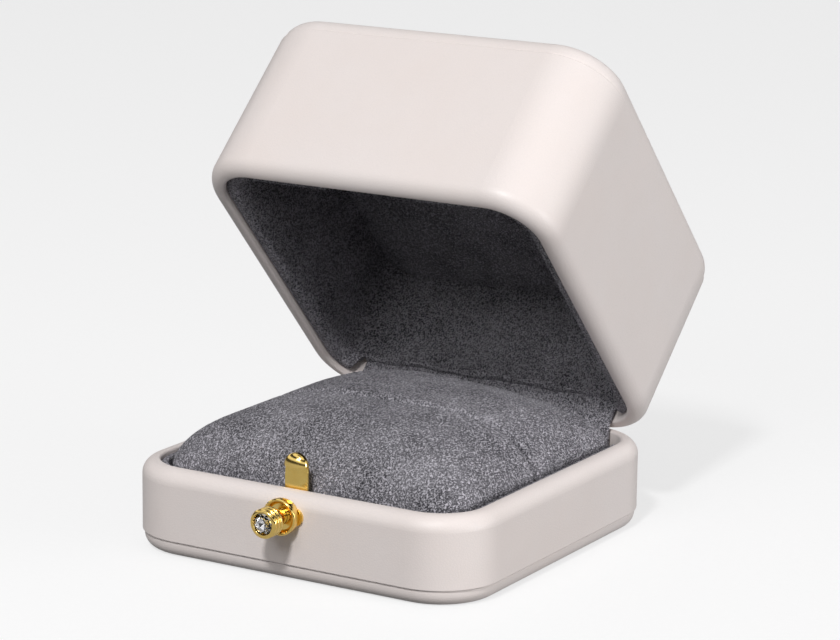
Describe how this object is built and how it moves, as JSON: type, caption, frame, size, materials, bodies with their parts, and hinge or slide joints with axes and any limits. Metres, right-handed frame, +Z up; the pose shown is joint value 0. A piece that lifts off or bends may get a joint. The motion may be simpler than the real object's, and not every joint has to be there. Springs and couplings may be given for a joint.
{
  "type": "ring box",
  "caption": "Square clamshell ring box with rounded corners, a sprung lid, a push button latch and a crowned suede ring cushion.",
  "frame": {"origin": "centre of the flat underside of the base, on the surface the box stands on", "axes": "+X to the right of someone facing the button, +Y from the button to the hinge, +Z up"},
  "size_m": [0.065, 0.0933, 0.0817],
  "materials": {
    "leatherette": "smooth satin leatherette, fine grain",
    "core_plastic": "moulded, matte",
    "board": "grey board",
    "suede": "grey microsuede",
    "foam": "dark foam",
    "gold_polished": "polished gold plate",
    "gold_satin": "satin gold plate",
    "plated_steel": "plated steel",
    "crystal": "clear, faceted"
  },
  "bodies": {
    "base": {"base_shell": "core_plastic", "base_wrap": "leatherette", "bottom_board": "board", "bottom_wrap": "leatherette", "base_liner_card": "board", "base_lining": "suede", "cushion_board": "board", "cushion_foam_front": "foam", "cushion_foam_rear": "foam", "cushion_cover_front": "suede", "cushion_cover_rear": "suede", "hinge_leaf_base": "plated_steel", "hinge_pin": "plated_steel", "hinge_screws_base": "plated_steel", "hinge_flap": "suede", "hinge_spring": "plated_steel", "button_backplate": "gold_polished", "button_rosette": "gold_polished", "button_sleeve": "gold_polished", "latch_anchor": "plated_steel", "anchor_rivets": "plated_steel"},
    "lid": {"lid_shell": "core_plastic", "lid_wrap": "leatherette", "lid_top_board": "board", "lid_top_wrap": "leatherette", "lid_liner_card": "board", "lid_lining": "suede", "lid_back_card": "board", "lid_back_lining": "suede", "lid_ceiling_board": "board", "lid_ceiling_foam": "foam", "lid_ceiling_cover": "suede", "strike_plate": "plated_steel", "strike_screws": "plated_steel", "hinge_leaf_lid": "plated_steel", "hinge_screws_lid": "plated_steel"},
    "button": {"button_knob": "gold_polished", "button_pusher": "gold_polished", "button_crystal": "crystal"},
    "tongue": {"latch_tongue": "gold_satin"}
  },
  "joints": [
    {"name": "lid_hinge", "type": "hinge", "parent": "base", "child": "lid", "pos_m": [0, 0.03, 0.01479], "axis": [-1, 0, 0], "range_deg": [-47, 0], "stiffness_Nm_per_rad": 0.012, "springref_deg": 57.3, "deforming": ["hinge_flap", "hinge_spring"]},
    {"name": "button_press", "type": "slide", "parent": "base", "child": "button", "axis": [0, 1, 0], "range_m": [0, 0.0009], "stiffness_N_per_m": 800, "springref_m": -0.0008},
    {"name": "tongue_swing", "type": "hinge", "parent": "base", "child": "tongue", "pos_m": [0, -0.02905, 0.0055], "axis": [-1, 0, 0], "range_deg": [0, 9.6]}
  ],
  "couplings": [
    {"joint": "tongue_swing", "follows": "button_press", "rad_per_m": 185.19}
  ]
}
